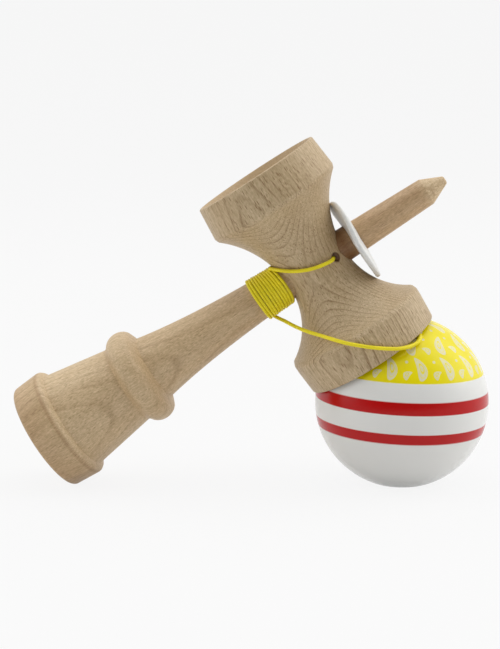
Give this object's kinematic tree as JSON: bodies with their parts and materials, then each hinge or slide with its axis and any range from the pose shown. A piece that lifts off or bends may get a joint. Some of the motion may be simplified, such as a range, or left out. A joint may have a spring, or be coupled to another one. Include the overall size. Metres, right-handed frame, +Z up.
{
  "type": "cup and ball toy",
  "caption": "Wooden cup-and-ball toy leaning on its ball: turned handle with spike and base cup, cup cross piece, soft spike washer and a lacquered ball tethered by a cord wound on the grip.",
  "frame": {"origin": "on the table, under the middle of the toy's box without the cord", "axes": "+X from the handle's base towards the ball, +Y away from the side that the cord crosses, +Z up"},
  "size_m": [0.1646, 0.06, 0.1197],
  "materials": {
    "handle_beech": "sanded, lightly oiled beech, grain along the handle",
    "cup_beech": "sanded, lightly oiled beech, grain across the handle",
    "ball_lacquer": "gloss lacquer, white with a yellow cap and red bands",
    "washer_plastic": "soft satin white",
    "yellow_cord": "braided synthetic cord",
    "bead_wood": "plain turned wood"
  },
  "bodies": {
    "ball": {"ball": "ball_lacquer"},
    "cord_end": {"ball_bead": "bead_wood", "stopper_knot": "yellow_cord", "cord_in_ball": "yellow_cord"},
    "handle": {"handle": "handle_beech", "cup_crosspiece": "cup_beech", "anchor_knot": "yellow_cord", "cord_lead": "yellow_cord", "cord_winding": "yellow_cord", "cord_tail": "yellow_cord"},
    "washer": {"spike_washer": "washer_plastic"}
  },
  "joints": [
    {"name": "ball_spin", "type": "hinge", "parent": "ball", "child": "cord_end", "pos_m": [0.05227, 0, 0.02821], "axis": [0, 0, 1], "continuous": true},
    {"name": "handle_lift", "type": "slide", "parent": "cord_end", "child": "handle", "axis": [-0.5404, 0, 0.8414], "range_m": [0, 0.035], "deforming": ["cord_tail"]},
    {"name": "washer_slide", "type": "slide", "parent": "handle", "child": "washer", "axis": [0.8414, 0, 0.5404], "range_m": [0, 0.042]}
  ]
}
